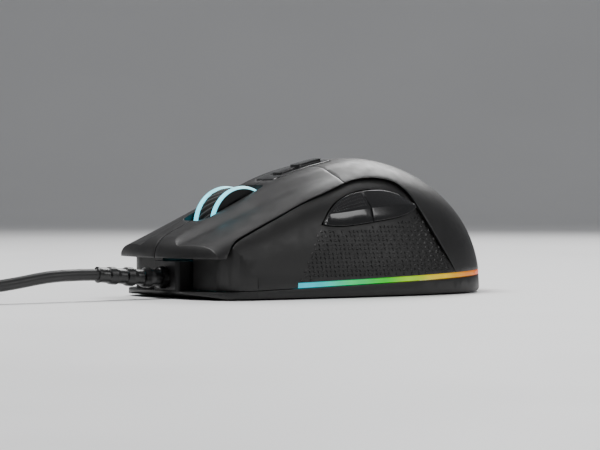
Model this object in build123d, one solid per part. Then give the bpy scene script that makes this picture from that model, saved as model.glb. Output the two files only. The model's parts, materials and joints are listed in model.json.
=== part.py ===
from build123d import *
import math
import os

import numpy as np

# A right-handed corded gaming mouse, in millimetres.
# The front points along -Y, the thumb side is +X, and Z is up from the surface it stands on.

# ---------------------------------------------------------------- driving dimensions
WALL = 2.0                  # wall of the moulded shells
TAIL_Y = 60.2               # rearmost point of the palm

# Crest line of the form, seen from the side: (y, z).
CREST = [(-66, 14.0), (-45, 23.5), (-30, 30.4), (-15, 36.8), (0, 41.0), (12, 42.8), (24, 41.6),
         (36, 37.3), (46, 30.8), (54, 22.0), (58.2, 14.0), (60.2, 6.5)]
# Half outline of the form, seen from above: (y, x).
OUTLINE = [(-66, 26.0), (-45, 28.6), (-25, 31.2), (-5, 33.2), (12, 34.2), (28, 33.4), (42, 29.6),
           (52, 22.6), (57.4, 14.4), (60.2, 6.0)]
# How square the form is across, from 2 for an ellipse upwards: (y, exponent).
SQUARENESS = [(-66, 4.6), (-30, 3.8), (0, 2.8), (20, 2.45), (62, 2.3)]

SPINE_HALF = [(-66, 4.5), (-20, 7.5), (20, 12.0), (62, 14.0)]        # raised middle band: (y, half width)
GROOVE_EDGE = [(-66, 5.0), (-30, 7.0), (20, 11.0), (62, 12.0)]      # width over which it drops: (y, width)
GROOVE_DEPTH = [(-66, 1.8), (-45, 2.1), (-30, 2.1), (-15, 1.8), (0, 0.9), (12, 0.2), (24, 0.0), (62, 0.0)]


# ---------------------------------------------------------------- the free form
def natural_spline(points, samples=600):
    """A smooth curve through points, as arrays of its two coordinates."""
    p = np.array(points, float)
    chord = np.concatenate([[0], np.cumsum(np.hypot(*np.diff(p, axis=0).T))])
    h = np.diff(chord)
    n = len(p)
    system, right = np.eye(n), np.zeros((n, 2))
    for i in range(1, n - 1):
        system[i, i - 1:i + 2] = h[i - 1], 2 * (h[i - 1] + h[i]), h[i]
        right[i] = 6 * ((p[i + 1] - p[i]) / h[i] - (p[i] - p[i - 1]) / h[i - 1])
    bend = np.linalg.solve(system, right)
    t = np.linspace(0, chord[-1], samples)
    i = np.clip(np.searchsorted(chord, t) - 1, 0, n - 2)
    a, b = (chord[i + 1] - t)[:, None], (t - chord[i])[:, None]
    g = h[i][:, None]
    curve = (bend[i] * a**3 + bend[i + 1] * b**3) / (6 * g)
    curve += (p[i] / g - bend[i] * g / 6) * a + (p[i + 1] / g - bend[i + 1] * g / 6) * b
    return curve.T


CREST_Y, CREST_Z = natural_spline(CREST)
OUTLINE_Y, OUTLINE_X = natural_spline(OUTLINE)


def along(table, y):
    """A value that changes smoothly along the length, averaged over a stretch of straight steps."""
    return float(np.mean(np.interp(y + np.linspace(-6, 6, 13), *np.array(table, float).T)))


def ease(t):
    """0 below 0, 1 above 1, and smooth between."""
    t = np.clip(t, 0, 1)
    return t * t * t * (10 - 15 * t + 6 * t * t)


def groove_drop(x, y):
    """How far the finger grooves lie below the raised middle band."""
    across = (np.abs(x) - along(SPINE_HALF, y)) / along(GROOVE_EDGE, y)
    return along(GROOVE_DEPTH, y) * ease(across)


def form_section(y, inset=0.0, count=721):
    """Points across the form at y, from the thumb side's foot over the crest to the other foot."""
    half = max(float(np.interp(y, OUTLINE_Y, OUTLINE_X)) - inset, 0.8)
    high = max(float(np.interp(y, CREST_Y, CREST_Z)) - inset, 1.2)
    power = 2 / along(SQUARENESS, y)
    turn = np.linspace(0, math.pi, count)
    x = half * np.sign(np.cos(turn)) * np.abs(np.cos(turn)) ** power
    z = high * np.sin(turn) ** power
    return x, z - groove_drop(x, y) * np.clip(z / high, 0, 1) ** 2


def side_x(y, z, inset=0.0):
    """How far out the form's side is at y and height z."""
    x, height = form_section(y, inset)
    half = len(x) // 2
    return float(np.interp(z, height[:half], x[:half]))


def panel_sink(y, z):
    """How far the side panels lie below the form: most under the brow, nothing at the light strip."""
    return 0.45 * ease((z - 6) / 6) + 0.75 * ease((z - 8) / 12) * ease((y + 34) / 34)


def form_rows(inset=0.0, sunk=False):
    """Rows of points over the form moved inwards by inset, from the mouth to the tail."""
    rows = []
    for i in np.linspace(0, len(CREST_Y) - 1, 31).astype(int):
        y = CREST_Y[i]
        x, z = form_section(y, inset)
        step = np.concatenate([[0], np.cumsum(np.hypot(np.diff(x), np.diff(z)))])
        even = np.linspace(0, step[-1], 31)
        x, z = np.interp(even, step, x), np.interp(even, step, z)
        z[0] = z[-1] = 0
        if sunk:
            x = x - np.sign(x) * panel_sink(y, z) * ease(np.abs(x) / 9)
        tail_pull = 1 - inset / TAIL_Y if y > 0 else 1
        rows.append([Vector(a, y * tail_pull, b) for a, b in zip(x, z)])
    return rows


def skin_parts(rows):
    """The skin over the rows, its mouth and tail arches, and its two foot edges."""
    skin = Face.make_surface_from_array_of_points(rows, tol=0.02, min_deg=3, max_deg=8)
    arches = sorted([e for e in skin.edges() if abs(e.center().X) < 1], key=lambda e: e.center().Y)
    feet = sorted([e for e in skin.edges() if abs(e.center().X) > 5], key=lambda e: e.center().X)
    return skin, arches, feet


def form_solid(inset=0.0, sunk=False):
    """The closed form, moved inwards by inset."""
    rows = form_rows(inset, sunk)
    skin, arches, feet = skin_parts(rows)
    ends = [Line(row[0], row[-1]).edge() for row in (rows[0], rows[-1])]
    caps = [Face(Wire([end, arch])) for end, arch in zip(ends, arches)]
    return Solid(Shell([skin, Face(Wire(ends + feet))] + caps))


def form_shell(outer=0.0, inner=WALL, sunk=False):
    """The hollow form between two insets, open along the floor and at the mouth."""
    rows_out, rows_in = form_rows(outer, sunk), form_rows(inner)
    skin_out, arches_out, feet_out = skin_parts(rows_out)
    skin_in, arches_in, feet_in = skin_parts(rows_in)
    tails = [Line(rows[-1][0], rows[-1][-1]).edge() for rows in (rows_out, rows_in)]
    lips = [Line(rows_out[0][end], rows_in[0][end]).edge() for end in (0, -1)]
    faces = [skin_out, skin_in]
    faces.append(Face(Wire([tails[0], arches_out[1]])))
    faces.append(Face(Wire([tails[1], arches_in[1]])))
    faces.append(Face(Wire(lips + [arches_out[0], arches_in[0]])))
    faces.append(Face(Wire(lips + tails + feet_out + feet_in)))
    return Solid(Shell(faces))


# ---------------------------------------------------------------- parting lines, seen from the side
HALF_SPACE = 90.0           # reach of the blocks that cut a half off
GAP = 0.3                   # between pieces that move
JOIN = 0.2                  # between pieces that don't
HINGE_Y = -4.0              # where the button plates bend
HINGE_Z = 29.0
LIP_Z = 12.2                # underside of the button plates' front lip
SPLIT_SLOPE = 0.031         # how the light strip climbs towards the tail
SPLIT_Z = 4.05              # top of the base wall at y = 0
STRIP_THICK = 1.35
STRIP_WIDE = 2.6
STRIP_FRONT_Y = -28.5
FLOOR_Z = 0.5               # underside of the base
FLOOR_TOP_Z = 2.5
PANEL_FRONT_Y = -50.5
PANEL_INNER_X = 20.5        # the panels reach no further in than this under the button plates
NOSE_HALF, NOSE_CORNER_Y, NOSE_SAG = 28.0, -53.4, 5.5        # the nose's arc, seen from above
NOSE_RADIUS = (NOSE_HALF ** 2 + NOSE_SAG ** 2) / (2 * NOSE_SAG)

# Edge of the top shell over a side panel, (y, z): up the seam from the lip, over the brow, down the crease.
SEAM = [(-51.9, 12.2), (-50.9, 13.6), (-48.2, 16.5), (-43.0, 19.3), (-37.8, 21.6), (-29.9, 25.0),
        (-22.0, 28.4), (-13.9, 31.3), (-7.1, 33.6), (-2.0, 35.2), (4.6, 36.3), (10.8, 36.1),
        (15.4, 34.6), (18.4, 31.4), (20.4, 26.8), (23.1, 21.4), (26.6, 15.6), (32.6, 7.2), (34.2, 4.6)]
# Outline of the pair of thumb buttons: (y, z), from the front corner round the top to the tail and back.
ALMOND_TOP = [(-18.4, 21.9), (-14.0, 26.6), (-6.8, 30.5), (2.4, 32.7), (11.6, 32.2), (17.6, 29.8),
              (20.0, 27.3)]
ALMOND_FOOT = [(20.0, 27.3), (16.4, 25.6), (6.6, 23.4), (-4.0, 22.0), (-13.0, 21.4), (-18.4, 21.9)]
THUMB_SPLIT_Y = 0.6
THUMB_TOP = [(-21, 27.0), (-9, 31.8), (3, 34.2), (15, 33.5), (21, 31.5)]       # clear above the outline
RIDGE = [(-22, 24.9), (-13.3, 25.4), (0, 27.0), (20, 27.9), (24, 28.0)]   # crease across both thumb buttons


def split_z(y):
    """Top of the base wall at y."""
    return SPLIT_Z + SPLIT_SLOPE * y


def block(x, y, z):
    """A box from three (low, high) pairs."""
    size = [b - a for a, b in (x, y, z)]
    centre = [(a + b) / 2 for a, b in (x, y, z)]
    return Pos(*centre) * Box(*size)


def rod(radius, start, end):
    """A cylinder from one point to another."""
    start, end = Vector(*start), Vector(*end)
    plane = Plane(origin=start, z_dir=end - start)
    return extrude(plane * Circle(radius), (end - start).length)


def across(outline, x=(-HALF_SPACE, HALF_SPACE)):
    """A prism along X over a closed (y, z) outline."""
    face = Plane.YZ * make_face(outline)
    return extrude(Pos(x[0], 0, 0) * face, x[1] - x[0], dir=(1, 0, 0))


def below_seam(gap=0.0, drop=0.0):
    """Everything under and ahead of the seam, set off by gap, and by drop more at the front."""
    line = np.array(SEAM, float)
    slope = np.gradient(line, axis=0)
    normal = np.stack([slope[:, 1], -slope[:, 0]], 1) / np.hypot(*slope.T)[:, None]
    share = np.clip((HINGE_Y - line[:, :1]) / (HINGE_Y - PANEL_FRONT_Y), 0, 1)
    edge = [tuple(point) for point in line + normal * (gap + drop * share)]
    front, back = edge[0], edge[-1]
    rest = Polyline(back, (back[0], -20), (-HALF_SPACE, -20), (-HALF_SPACE, front[1]), front)
    return across(Spline(*edge) + rest)


def below_split(lift=0.0):
    """Everything under the plane on which the base wall ends."""
    ends = [(y, split_z(y) + lift) for y in (-HALF_SPACE, HALF_SPACE)]
    return across(Polyline(*ends, (HALF_SPACE, -30), (-HALF_SPACE, -30), ends[0]))


def nose_plan(inset=0.0, corner=6.0):
    """Plan of the rounded nose of the button plates, back to y = -42."""
    y, half = NOSE_CORNER_Y + inset, NOSE_HALF - inset
    front = ThreePointArc((-half, y), (0, y - NOSE_SAG), (half, y))
    back = Polyline((half, y), (half + 2, -42), (-half - 2, -42), (-half, y))
    plan = make_face(front + back)
    return fillet([v for v in plan.vertices() if abs(v.Y - y) < 0.1], corner - inset)


def panel_plan(inset=0.0, corner=9.0):
    """Plan of the panels' rounded front corners, back to y = -38."""
    half, y = 28.2 - inset, PANEL_FRONT_Y + inset
    plan = make_face(Polyline((-half, y), (half, y), (half + 1, -38), (-half - 1, -38), (-half, y)))
    return fillet([v for v in plan.vertices() if abs(v.Y - y) < 0.1], corner - inset)


def ahead_of(plan, back, z=(-10, 70)):
    """What lies outside a plan, ahead of y = back."""
    yard = Pos(0, (back - HALF_SPACE) / 2, 0) * Rectangle(2 * HALF_SPACE, HALF_SPACE + back)
    return plan_prism(yard - plan, z)


def plan_prism(plan, z=(-10, 70)):
    """A prism along Z over a plan."""
    return extrude(Pos(0, 0, z[0]) * plan, z[1] - z[0], dir=(0, 0, 1))


SIDE_LEFT = block((0, HALF_SPACE), (-HALF_SPACE, HALF_SPACE), (-HALF_SPACE, HALF_SPACE))
SIDE_RIGHT = block((-HALF_SPACE, 0), (-HALF_SPACE, HALF_SPACE), (-HALF_SPACE, HALF_SPACE))


PALM_SCREWS = [(-17, 40), (17, 40)]
ISLAND_HALF = 5.4
ISLAND_FRONT_Y = -18.0
ISLAND_BACK_Y = 4.6


# ---------------------------------------------------------------- outer shells
SHELL = form_shell()
SEAM_BLOCK = below_seam()


def nose_rounding():
    """The ring that rounds the front edge of the button plates over."""
    middle = NOSE_RADIUS - 58.9
    foot, top = (NOSE_RADIUS, 12.7), (NOSE_RADIUS - 4.2, 18.9)
    rolled = TangentArc(foot, top, tangent=(0, 1))
    crown = (NOSE_RADIUS - 12, 23.2)
    rest = Polyline(top, crown, (NOSE_RADIUS - 12, 40), (NOSE_RADIUS + 9, 40), (NOSE_RADIUS + 9, 12.7), foot)
    profile = Plane.XZ * make_face(rolled + rest)
    return Pos(0, middle, 0) * revolve(profile, Axis.Z)


def button_plates():
    """Both main button plates as one shell, before they are parted."""
    plates = SHELL - SEAM_BLOCK - below_split(STRIP_THICK + 2 * JOIN)
    plates = plates & block((-60, 60), (-80, HINGE_Y - JOIN / 2), (0, 60))
    plates -= ahead_of(nose_plan(), -45)
    lip = plan_prism(nose_plan() - nose_plan(WALL), (LIP_Z, 40)) & block((-60, 60), (-90, -46.5), (0, 60))
    lip = (lip & form_solid(0.4)) - SEAM_BLOCK
    return plates + lip - nose_rounding()


def palm_shell():
    """The palm shell with its screw bosses and the opening for the resolution buttons."""
    shell = SHELL - SEAM_BLOCK - below_split(STRIP_THICK + 2 * JOIN)
    shell = shell & block((-60, 60), (HINGE_Y + JOIN / 2, 90), (0, 60))
    for x, y in PALM_SCREWS:
        boss = rod(3.2, (x, y, FLOOR_TOP_Z + 2.2), (x, y, 45)) - rod(1.0, (x, y, 0), (x, y, 16))
        shell += boss & form_solid(0.6)
    return shell - island_prism(GAP)


def side_panels():
    """Both side panels as one body, with the front walls that they carry round the corners."""
    panels = form_shell(0, 3.4, True) & below_seam(JOIN, 0.45)
    panels -= ahead_of(panel_plan(), -42)
    wall = plan_prism(panel_plan() - panel_plan(WALL), (0, 16)) & block((-60, 60), (-90, -43.5), (0, 60))
    panels += wall & form_solid(0.3, True) & below_seam(JOIN, 0.45)
    panels -= below_split(JOIN)
    panels -= block((-PANEL_INNER_X, PANEL_INNER_X), (PANEL_FRONT_Y, HINGE_Y + 6), (17, 60))
    return panels - strip_space(JOIN)


def strip_space(margin):
    """The band that the light strip fills, grown by margin."""
    band = below_split(STRIP_THICK + JOIN + margin) - below_split(JOIN - margin)
    return band & block((-60, 60), (STRIP_FRONT_Y - margin, 90), (-10, 60))


def island_prism(margin):
    """The rounded plan of the resolution buttons' frame, grown by margin, as a prism."""
    width, length = 2 * ISLAND_HALF + 2 * margin, ISLAND_BACK_Y - ISLAND_FRONT_Y + 2 * margin
    plan = RectangleRounded(width, length, 2.2 + margin)
    return plan_prism(Pos(0, (ISLAND_BACK_Y + ISLAND_FRONT_Y) / 2, 0) * plan, (25, 60))


def almond_prism(shrink=0.0):
    """The opening for the pair of thumb buttons as a prism, made smaller by shrink."""
    steps = np.linspace(ALMOND_TOP[0][0] + 2.5 * shrink, ALMOND_TOP[-1][0] - 2.5 * shrink, 25)
    tops, feet = natural_spline(ALMOND_TOP), natural_spline(ALMOND_FOOT[::-1])
    upper = [(y, float(np.interp(y, *tops)) - shrink) for y in steps]
    lower = [(y, float(np.interp(y, *feet)) + shrink) for y in steps]
    corners = [(y, max(z, foot[1] + 0.2)) for (y, z), foot in zip(upper, lower)] + lower[::-1]
    face = make_face(Polyline(*corners, close=True))
    return extrude(Pos(18, 0, 0) * (Plane.YZ * face), 22, dir=(1, 0, 0))


def thumb_section(y):
    """The five corners of the thumb buttons' outline where it is cut across at one y."""
    ridge, low, high = along(RIDGE, y), 19.5, along(THUMB_TOP, y)
    inner = side_x(y, ridge, 3.4)
    corners = [(inner, low), (side_x(y, low) - 0.6, low), (side_x(y, ridge) + 0.35, ridge),
               (side_x(y, high) - 0.9, high), (inner - 1.2, high)]
    return [(x, y, z) for x, z in corners]


def thumb_blank():
    """The folded outer body of both thumb buttons, creased along the ridge, before it is cut to outline."""
    rows = [thumb_section(y) for y in (-21, -15, -9, -3, 3, 9, 15, 21)]
    faces = [Face(Wire(Polyline(*row, close=True).edges())) for row in (rows[0], rows[-1])]
    for row, after in zip(rows, rows[1:]):
        for i in range(len(row)):
            k = (i + 1) % len(row)
            faces.append(Face(Wire(Polyline(row[i], row[k], after[k], close=True).edges())))
            faces.append(Face(Wire(Polyline(row[i], after[k], after[i], close=True).edges())))
    return Solid(Shell(faces))


# ---------------------------------------------------------------- places of the inner parts
BOARD_Z = 4.6               # underside of the main board
BOARD_TOP_Z = 6.2
WHEEL_Y = -29.6
WHEEL_Z = 21.7
WHEEL_RADIUS = 12.0
SLOT_HALF = 6.2
SLOT_FRONT_Y, SLOT_BACK_Y = -45.6, -21.6
AXLE_RADIUS = 1.3
RUNNING = 0.05              # radial clearance of a turning fit
WHEEL_TRAVEL = 0.5
MAIN_SWITCH_X, MAIN_SWITCH_Y = 17.0, -38.0
THUMB_TRAVEL = 0.6
THUMB_SWITCHES = {"forward": -6.6, "back": 9.0}
THUMB_SWITCH_Z = 25.2
SIDE_BOARD_X = 16.2
DPI_BUTTONS = {"front": (-13.6, -7.6, 0.7), "rear": (-6.6, 3.0, 1.15)}    # (low y, high y, height proud)
DPI_TRAVEL = 0.4
DPI_HALF = 2.3              # half width of the resolution buttons
BASE_SCREWS = [(-23, -43.5), (23, -43.5), (-17, 40), (17, 40)]
BOARD_SCREWS = [(-20, -8), (20, -8), (0, 31)]
FEET = {"front_feet": [(-17, -41.5 + 8.5), (17, -41.5 + 8.5)], "rear_feet": [(-13, 47.0), (13, 47.0)]}
CABLE_Z = 6.3
SENSOR_Y = 5.0
RELIEF_NECK_Y = -55.6
RELIEF_FRONT_Y = -79.0
RELIEF_LIFT = 1.3           # how far the strain relief's tip has risen
CORD_RADIUS = 1.75
COIL_CENTRE = (-22.2, -155.0, 7.8)
COIL_RADIUS, COIL_BUNDLE = 21.6, 7.2
CORD_ROUTE = [(0, -79, 7.6), (0.4, -93, 7.9), (0.7, -107, 5.6), (0.6, -121, 4.2), (0.2, -135, 4.6),
              (-0.5, -148, 6.0)]
TAIL_ROUTE = [(-43.9, -158, 5.4), (-44.7, -149, 4.9), (-48.3, -141, 4.5), (-54.0, -134, 4.3),
              (-57.6, -126, 4.3)]
PLUG_X, PLUG_Y, PLUG_Z = -58.4, -122.0, 4.3


# ---------------------------------------------------------------- casing
def base_outline(inset=0.0):
    """Plan of the base's rounded front, back to y = -38."""
    y = -52.0 + inset
    front = ThreePointArc((-26 + inset, y), (0, -57.4 + inset), (26 - inset, y))
    back = Polyline((26 - inset, y), (30 - inset, -38), (-30 + inset, -38), (-26 + inset, y))
    plan = make_face(front + back)
    return fillet([v for v in plan.vertices() if abs(v.Y - y) < 0.1], 9)


def base_shell():
    """The base: a floor with a low wall, the cable housing, guides and bosses."""
    chin = [(-70, -5), (-70, 7), (-58.5, 3.6), (-55.5, 1.5), (-49, 0), (-49, -5), (-70, -5)]
    stern = [(70, -5), (70, 9), (61, 5.6), (54, 1.8), (44, 0), (44, -5), (70, -5)]
    base = form_solid(0.1) & below_split()
    base &= block((-60, 60), (-80, 80), (FLOOR_Z, 20))
    base -= across(Polyline(*chin))
    base -= across(Polyline(*stern))
    base -= ahead_of(base_outline(), -42)
    pocket = below_split(10) & block((-60, 60), (-47, 60), (FLOOR_TOP_Z, 30)) & form_solid(2.4)
    base -= pocket
    housing = block((-6.5, 6.5), (-55.2, -47.5), (1.5, 11.2))
    base += fillet(housing.edges().filter_by(Axis.Z), 1.2)
    for x, y in BASE_SCREWS:
        base -= rod(2.6, (x, y, 0), (x, y, 2.2)) + rod(1.2, (x, y, 0), (x, y, 6))
    for x, y in BOARD_SCREWS:
        base += rod(2.4, (x, y, FLOOR_TOP_Z - 0.5), (x, y, BOARD_Z)) - rod(0.8, (x, y, 1.6), (x, y, 9))
    for side in (-1, 1):
        for y in (WHEEL_Y - 6.2, WHEEL_Y + 4.6):
            base += block(sorted((side * 8.35, side * 9.4)), (y, y + 1.6), (FLOOR_TOP_Z - 0.5, 9.8))
    for points in FEET.values():
        for x, y in points:
            base -= Pos(x, y, 0.45) * extrude(RectangleRounded(9.6, 5.6, 2.6), 0.5)
    base -= Pos(0, SENSOR_Y, 0) * extrude(RectangleRounded(9.6, 8.6, 2), 10)
    base -= block((-12.4, 12.4), (16.6, 27.4), (0, FLOOR_Z + 0.2))
    return base - relief_space(0)


def relief_space(margin):
    """The strain relief's neck and flange inside the cable housing."""
    neck = rod(2.6 + margin, (0, -60, CABLE_Z), (0, -44, CABLE_Z))
    flange = block((-4 - margin, 4 + margin), (-52.2 - margin, -50.2 + margin), (CABLE_Z - 3.4, 20))
    return neck + flange


def feet(name):
    """A pair of slippery feet set into the base."""
    pads = [Pos(x, y, 0) * extrude(RectangleRounded(9.4, 5.4, 2.5), 0.9) for x, y in FEET[name]]
    return Compound([fillet(pad.edges().group_by(Axis.Z)[0], 0.3).solid() for pad in pads])


def label_plate():
    """The blank rating plate under the base."""
    return Pos(0, 22, FLOOR_Z) * extrude(RectangleRounded(24.4, 10.4, 1), 0.2)


def light_strip():
    """The light guide that shows as a thin line round the foot of the case."""
    reach = TAIL_Y - 0.3 - STRIP_FRONT_Y
    steps = STRIP_FRONT_Y - 2 + (reach + 2) * np.sin(np.linspace(0, math.pi / 2, 26))
    side = [(side_x(y, split_z(y) + 0.9, 0.15), float(y)) for y in steps]
    outer = np.array(side + [(-x, y) for x, y in reversed(side)])
    run = np.gradient(outer, axis=0)
    inward = np.column_stack([-run[:, 1], run[:, 0]]) / np.hypot(*run.T)[:, None]
    inner = outer + STRIP_WIDE * inward
    corners = [(float(x), float(y)) for x, y in np.vstack([outer, inner[::-1]])]
    plan = make_face(Polyline(*corners, close=True))
    return plan_prism(plan, (0, 14)) & strip_space(0)


def wheel_slot():
    """The rounded opening for the scroll wheel."""
    length = SLOT_BACK_Y - SLOT_FRONT_Y
    plan = Pos(0, (SLOT_BACK_Y + SLOT_FRONT_Y) / 2, 0) * RectangleRounded(2 * SLOT_HALF, length, 3.2)
    return plan_prism(plan, (12, 60))


def main_button(plates, side):
    """One main button plate with the post that presses its switch."""
    half = block(sorted((side * GAP / 2, side * 60)), (-90, 0), (-10, 60))
    button = plates & half
    post = block(sorted((side * (MAIN_SWITCH_X - 1.6), side * (MAIN_SWITCH_X + 1.6))),
                 (MAIN_SWITCH_Y - 3.1, MAIN_SWITCH_Y - 0.1), (BOARD_TOP_Z + 7.25, 40))
    rib = block(sorted((side * (MAIN_SWITCH_X - 0.7), side * (MAIN_SWITCH_X + 0.7))),
                (MAIN_SWITCH_Y - 8, MAIN_SWITCH_Y + 10), (19, 40))
    return button + ((post + rib) & form_solid(0.5))


def thumb_button(blank, name):
    """One thumb button, with the stem that presses its switch."""
    if name == "forward":
        span = (-40, THUMB_SPLIT_Y - 0.12)
    else:
        span = (THUMB_SPLIT_Y + 0.12, 40)
    button = blank & almond_prism(0.22) & block((0, 60), span, (0, 60))
    y = THUMB_SWITCHES[name]
    z = THUMB_SWITCH_Z
    return button + block((SIDE_BOARD_X + 6.15, 26.5), (y - 1.2, y + 1.2), (z - 1.2, z + 1.2))


def island_frame():
    """The frame round the two resolution buttons, on the crest."""
    frame = island_prism(0) & form_solid(-0.25)
    frame -= form_solid(2.4)
    for low, high, proud in DPI_BUTTONS.values():
        frame -= block((-DPI_HALF - 0.25, DPI_HALF + 0.25), (low - 0.25, high + 0.25), (20, 60))
    return frame


def dpi_button(name):
    """A resolution button that stands proud of the crest."""
    low, high, proud = DPI_BUTTONS[name]
    plan = Pos(0, (low + high) / 2, 0) * RectangleRounded(2 * DPI_HALF, high - low, 1.0)
    cap = plan_prism(plan, (25, 60)) & form_solid(-proud)
    cap -= form_solid(3.0)
    y = (low + high) / 2
    stem = rod(1.1, (0, y, DPI_SWITCH_TOP[name] + 0.15), (0, y, DPI_SWITCH_TOP[name] + 9))
    return cap + (stem & form_solid(1.5))


# ---------------------------------------------------------------- wheel
def wheel_hub():
    """The wheel's spoked core with its two stub axles."""
    body = extrude(Pos(-3.4, 0, 0) * (Plane.YZ * Circle(8.6)), 6.8, dir=(1, 0, 0))
    dish = Plane.YZ * (Circle(7.4) - Circle(2.8))
    for side in (-1, 1):
        body -= extrude(Pos(side * 3.4, 0, 0) * dish, 2.4, dir=(-side, 0, 0))
    body += extrude(Pos(-12.8, 0, 0) * (Plane.YZ * Circle(AXLE_RADIUS)), 20.6, dir=(1, 0, 0))
    return Pos(0, WHEEL_Y, WHEEL_Z) * body


def wheel_tyre():
    """The rubber tread between the light rings."""
    band = Plane.YZ * (Circle(WHEEL_RADIUS - 0.5) - Circle(8.6))
    tyre = extrude(Pos(-3.4, 0, 0) * band, 6.8, dir=(1, 0, 0))
    tyre = chamfer(tyre.edges().filter_by(lambda e: e.length > 70), 0.5)
    return Pos(0, WHEEL_Y, WHEEL_Z) * tyre


def wheel_ring(side):
    """One of the two light rings at the edges of the wheel."""
    band = Plane.YZ * (Circle(WHEEL_RADIUS) - Circle(8.2))
    ring = extrude(Pos(side * 3.45, 0, 0) * band, 1.65, dir=(side, 0, 0))
    rims = ring.edges().filter_by(lambda e: e.length > 70)
    return Pos(0, WHEEL_Y, WHEEL_Z) * fillet(rims, 0.7)


def wheel_carriage():
    """The cradle that carries the wheel and goes down with it."""
    cradle = block((-8, 8), (WHEEL_Y - 7, WHEEL_Y + 7), (6.6, 8.6))
    for side in (-1, 1):
        arm = block(sorted((side * 6.4, side * 8.0)), (WHEEL_Y - 4.2, WHEEL_Y + 4.2), (6.6, 24.2))
        cradle += arm
    cradle -= rod(AXLE_RADIUS + RUNNING, (-20, WHEEL_Y, WHEEL_Z), (20, WHEEL_Y, WHEEL_Z))
    cradle += block((-16, -7), (WHEEL_Y + 3.2, WHEEL_Y + 7), (10.65, 12.4))
    cradle += block((-8, -6.4), (WHEEL_Y + 3, WHEEL_Y + 7), (8, 12.4))
    return cradle + rod(2.2, (0, WHEEL_Y + 4, 6.0), (0, WHEEL_Y + 4, 7))


def wheel_spring():
    """The spring that lifts the wheel cradle."""
    wire = Helix(pitch=0.85, height=3.0, radius=2.6)
    section = Plane(origin=wire @ 0, z_dir=wire % 0) * Circle(0.22)
    return Pos(0, WHEEL_Y + 4, 3.0) * sweep(section, path=wire)


def scroll_encoder():
    """The encoder that reads the wheel's axle, with a slot that lets the axle sink."""
    case = block((-13.8, -9.8), (WHEEL_Y - 4.4, WHEEL_Y + 2.9), (BOARD_TOP_Z, 23.6))
    case -= rod(AXLE_RADIUS + RUNNING, (-20, WHEEL_Y, WHEEL_Z), (0, WHEEL_Y, WHEEL_Z))
    low = WHEEL_Z - WHEEL_TRAVEL - AXLE_RADIUS - RUNNING
    bore = AXLE_RADIUS + RUNNING
    return case - block((-20, 0), (WHEEL_Y - bore, WHEEL_Y + bore), (low, WHEEL_Z))


# ---------------------------------------------------------------- switches
def main_switch(side):
    """The micro switch under a main button."""
    x = side * MAIN_SWITCH_X
    y, z = MAIN_SWITCH_Y, BOARD_TOP_Z
    case = block((x - 2.9, x + 2.9), (y - 6.4, y + 6.4), (z, z + 6.5))
    case = chamfer(case.edges().group_by(Axis.Z)[-1], 0.4)
    y = MAIN_SWITCH_Y - 1.6
    return case - block((x - 1.35, x + 1.35), (y - 0.85, y + 0.85), (BOARD_TOP_Z + 5, 20))


def main_plunger(side):
    """The plunger of a main button's micro switch."""
    x, y = side * MAIN_SWITCH_X, MAIN_SWITCH_Y - 1.6
    return block((x - 1.2, x + 1.2), (y - 0.7, y + 0.7), (BOARD_TOP_Z + 5.5, BOARD_TOP_Z + 7.1))


def tact_case(size=6.0, height=3.6, bore=1.8):
    """A small push switch's case, standing on z = 0."""
    return extrude(Rectangle(size, size), height) - Pos(0, 0, 1.6) * extrude(Circle(bore), height)


def tact_plunger(top, radius=1.7):
    """A small push switch's plunger, from inside its case to height top."""
    return Pos(0, 0, 2.4) * extrude(Circle(radius), top - 2.4)


WHEEL_SWITCH = Pos(-13.0, WHEEL_Y + 5.1 + 3.4, BOARD_TOP_Z)
DPI_SWITCH_TOP = {}
for button_name, (low_y, high_y, proud_by) in DPI_BUTTONS.items():
    crest = float(np.interp((low_y + high_y) / 2, CREST_Y, CREST_Z))
    DPI_SWITCH_TOP[button_name] = crest - 6.2


def dpi_place(name):
    """Where a resolution button's switch stands."""
    low, high, proud = DPI_BUTTONS[name]
    return Pos(0, (low + high) / 2, DPI_SWITCH_TOP[name] - 3.3)


def thumb_place(name):
    """Where a thumb button's switch stands, facing the thumb."""
    return Pos(SIDE_BOARD_X + 1.2, THUMB_SWITCHES[name], THUMB_SWITCH_Z) * Rot(0, 90, 0)


# ---------------------------------------------------------------- boards
def main_board():
    """The main circuit board, cut out round the wheel's cradle."""
    board = Pos(0, -3, BOARD_Z) * extrude(RectangleRounded(50, 80, 6), BOARD_TOP_Z - BOARD_Z)
    board -= block((-9.7, 9.7), (-60, WHEEL_Y + 8.5), (0, 20))
    board -= Pos(0, SENSOR_Y, 0) * extrude(RectangleRounded(8.6, 8.6, 1), 20)
    for x, y in BOARD_SCREWS:
        board -= rod(1.3, (x, y, 0), (x, y, 20))
    for x, y in BASE_SCREWS:
        board -= rod(3.9, (x, y, 0), (x, y, 20))
    return board


def side_board():
    """The upright board behind the thumb buttons."""
    board = block((SIDE_BOARD_X, SIDE_BOARD_X + 1.2), (-11, 14), (20, 29))
    return fillet(board.edges().filter_by(Axis.X), 1)


def dpi_board():
    """The small board under the resolution buttons, stepped with the crest."""
    board = None
    for name, (low, high, proud) in DPI_BUTTONS.items():
        top = DPI_SWITCH_TOP[name] - 3.3
        piece = block((-5, 5), (low - 0.4, high + 0.4), (top - 1.0, top))
        board = piece if board is None else board + piece
    step_low, step_high = (DPI_SWITCH_TOP[name] - 3.3 for name in ("front", "rear"))
    return board + block((-5, 5), (-7.9, -6.8), (step_low - 1, step_high))


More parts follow.
